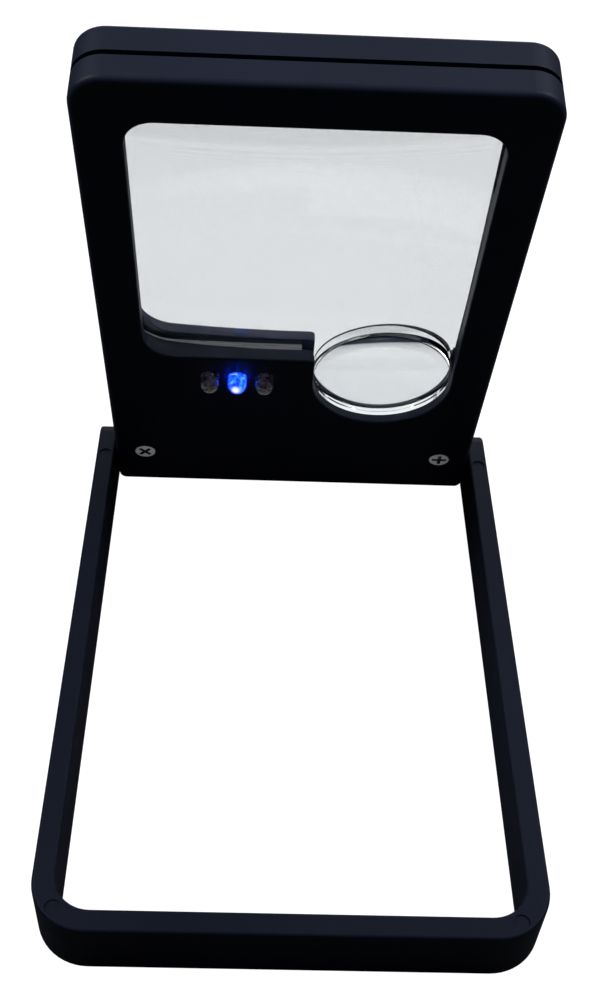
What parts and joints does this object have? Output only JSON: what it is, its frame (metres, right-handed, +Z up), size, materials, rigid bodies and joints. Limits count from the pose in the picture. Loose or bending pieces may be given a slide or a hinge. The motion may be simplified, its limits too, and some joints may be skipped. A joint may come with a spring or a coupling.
{
  "type": "folding magnifier",
  "caption": "Folding pocket magnifier: lens head with a round loupe and lamps, hinged in a U-shaped stand frame that it swings up from.",
  "frame": {"origin": "under the middle of the object, on the surface the stand frame lies on", "axes": "+X right along the hinge axis, +Y from the frame's cross bar back to the hinge, +Z up"},
  "size_m": [0.0672, 0.0978, 0.0928],
  "materials": {
    "case_plastic": "fine satin moulded texture",
    "lens_acrylic": "clear polished acrylic",
    "led_clear": "water-clear epoxy",
    "led_uv_lit": "water-clear epoxy, lit violet-blue",
    "tinned_wire": "bright tinned",
    "steel": "bright zinc plate",
    "cell_steel": "polished nickel plate",
    "brass": "turned",
    "washer_nylon": "natural nylon",
    "board_green": "solder mask",
    "chip_black": "thick film",
    "switch_black": "moulded"
  },
  "bodies": {
    "stand": {"stand_frame": "case_plastic", "hinge_pin_left": "steel", "hinge_pin_right": "steel", "hinge_washer_left": "washer_nylon", "hinge_washer_right": "washer_nylon"},
    "head": {"front_shell": "case_plastic", "rear_shell": "case_plastic", "main_lens": "lens_acrylic", "loupe_lens": "lens_acrylic", "led_white_left": "led_clear", "led_white_right": "led_clear", "led_uv_centre": "led_uv_lit", "led_leads": "tinned_wire", "switch_terminals": "tinned_wire", "switch_housing": "steel", "circuit_board": "board_green", "resistors": "chip_black", "coin_cell_front": "cell_steel", "coin_cell_rear": "cell_steel", "negative_contact": "steel", "positive_contact": "steel", "hinge_bush_left": "brass", "hinge_bush_right": "brass", "case_screws": "steel"},
    "switch": {"switch_lever": "switch_black", "switch_wiper": "brass", "switch_button": "case_plastic"},
    "battery_cover": {"battery_cover": "case_plastic"}
  },
  "joints": [
    {"name": "head_hinge", "type": "hinge", "parent": "stand", "child": "head", "pos_m": [0, 0.04382, 0.005], "axis": [1, 0, 0], "range_deg": [-104.45, 75.55]},
    {"name": "switch_slide", "type": "slide", "parent": "head", "child": "switch", "axis": [1, 0, 0], "range_m": [0, 0.004]},
    {"name": "battery_cover_twist", "type": "hinge", "parent": "head", "child": "battery_cover", "pos_m": [-0.0115, 0.04533, 0.01819], "axis": [0, -0.9684, -0.2495], "range_deg": [0, 45]}
  ]
}
